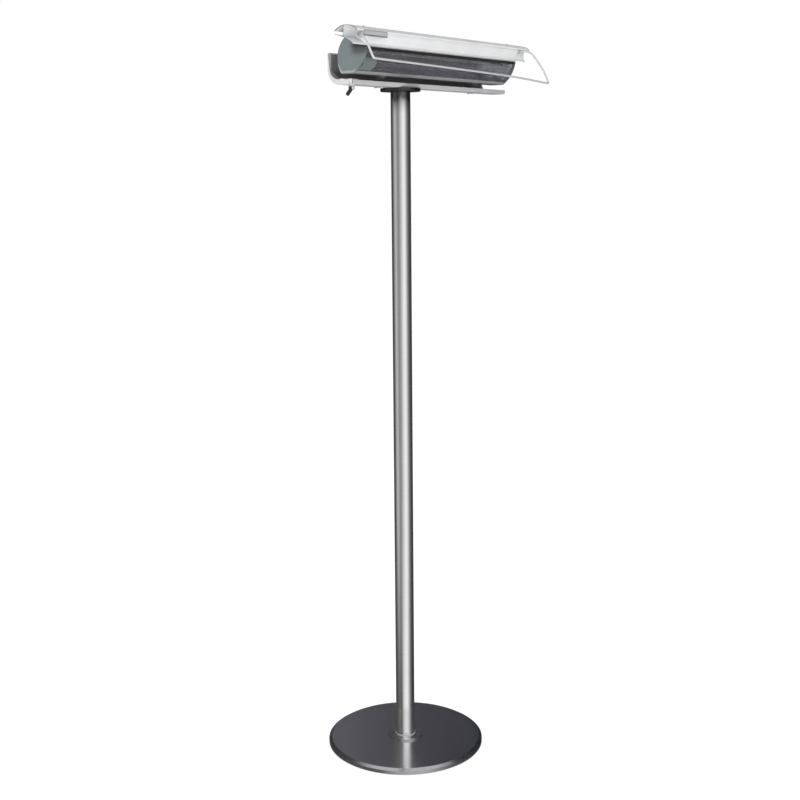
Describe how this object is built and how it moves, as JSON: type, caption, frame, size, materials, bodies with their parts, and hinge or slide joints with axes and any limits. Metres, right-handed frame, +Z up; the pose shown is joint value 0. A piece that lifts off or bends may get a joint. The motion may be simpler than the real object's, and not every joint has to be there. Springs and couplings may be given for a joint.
{
  "type": "infrared patio heater tower",
  "caption": "Standing infrared patio heater: round base, tall steel post, and a tilting lamp body with hood and wire guard on a bent tray.",
  "frame": {"origin": "on the floor, in the axis of the post", "axes": "+Z up, +X along the heater body, front of the heater toward -Y"},
  "size_m": [0.9626, 0.5, 2.2564],
  "materials": {
    "base_steel": "polished, dark in reflection",
    "plain_steel": "plain mill finish",
    "rubber": "matte",
    "fastener_steel": "zinc plated",
    "post_steel": "polished stainless steel",
    "dark_steel": "dark",
    "tray_steel": "brushed stainless steel",
    "black_plastic": "matte",
    "cap_paint": "satin grey paint",
    "reflector_metal": "bright rolled aluminium",
    "ceramic": "glazed ceramic",
    "quartz": "clear quartz",
    "hood_white": "white satin paint",
    "plate_metal": "brushed",
    "guard_steel": "bright wire"
  },
  "bodies": {
    "tower": {"base_cover": "base_steel", "base_weight": "plain_steel", "base_feet": "rubber", "base_flange": "base_steel", "base_flange_screws": "fastener_steel", "post_tube": "post_steel", "post_screws": "fastener_steel", "top_flange": "dark_steel", "top_flange_screws": "fastener_steel", "tray": "tray_steel", "cable_gland": "black_plastic", "hinge_brackets": "dark_steel", "hinge_bracket_screws": "fastener_steel", "hinge_bolts": "fastener_steel", "hinge_nuts": "fastener_steel", "switch_housing": "tray_steel", "switch_fork": "tray_steel"},
    "head": {"hinge_lugs": "dark_steel", "body_shell": "tray_steel", "end_cap_left": "cap_paint", "end_cap_right": "cap_paint", "reflector": "reflector_metal", "terminal_cover": "cap_paint", "terminal_block": "ceramic", "lamp_holders": "ceramic", "lamp_tube": "quartz", "lamp_filament": "dark_steel", "hood": "hood_white", "hood_visor": "hood_white", "hood_brackets": "hood_white", "hood_spacers": "hood_white", "hood_screws": "fastener_steel", "nameplate": "plate_metal", "guard_wire": "guard_steel", "guard_washers": "fastener_steel", "guard_bolts": "fastener_steel"},
    "lever": {"switch_lever": "black_plastic"}
  },
  "joints": [
    {"name": "head_tilt", "type": "hinge", "parent": "tower", "child": "head", "pos_m": [0.135, 0.01, 2.108], "axis": [1, 0, 0], "range_deg": [-20, 15]},
    {"name": "switch_turn", "type": "hinge", "parent": "tower", "child": "lever", "pos_m": [-0.255, -0.014, 2.0855], "axis": [0, -1, 0], "range_deg": [0, 46]}
  ]
}
